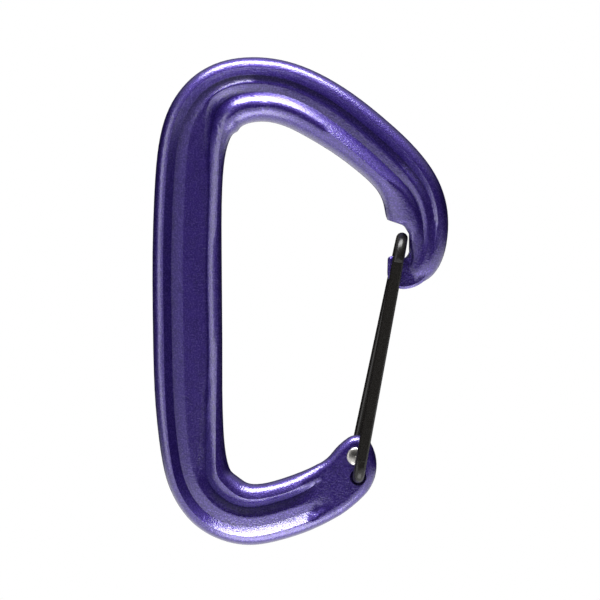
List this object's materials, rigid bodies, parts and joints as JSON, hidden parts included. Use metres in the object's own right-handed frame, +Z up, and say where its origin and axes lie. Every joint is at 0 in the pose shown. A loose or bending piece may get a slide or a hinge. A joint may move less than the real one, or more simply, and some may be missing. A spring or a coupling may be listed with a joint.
{
  "type": "wire-gate carabiner",
  "caption": "Full-size D-shaped climbing carabiner with a forged, relieved aluminium body, a hooked nose and a sprung gate bent from one steel wire.",
  "frame": {"origin": "where a rope bears in the top basket, on the body's middle plane: the highest point of the inside edge", "axes": "+Z up along the long axis, from the lower basket to the top one; +X from the spine to the gate; the front face towards -Y"},
  "size_m": [0.0594, 0.011, 0.0979],
  "materials": {
    "anodised_body": "purple anodised, fine satin blast with a sparkle",
    "black_wire": "black coated stainless wire, satin",
    "bare_steel": "bare stainless steel, bright"
  },
  "bodies": {
    "body": {"body": "anodised_body"},
    "front_wire": {"front_wire": "black_wire", "front_leg_head": "bare_steel"},
    "back_wire": {"back_wire": "black_wire", "back_leg_head": "bare_steel"}
  },
  "joints": [
    {"name": "gate_front_pivot", "type": "hinge", "parent": "body", "child": "front_wire", "pos_m": [0.0196, 0, -0.07138], "axis": [0, -1, 0], "range_deg": [0, 38], "stiffness_Nm_per_rad": 0.15, "springref_deg": -28.65},
    {"name": "gate_back_pivot", "type": "hinge", "parent": "body", "child": "back_wire", "pos_m": [0.0191, 0, -0.06718], "axis": [0, -1, 0], "range_deg": [0, 41.6], "stiffness_Nm_per_rad": 0.15, "springref_deg": -31.31}
  ],
  "couplings": [
    {"joint": "gate_back_pivot", "follows": "gate_front_pivot", "ratio": 1.093}
  ]
}
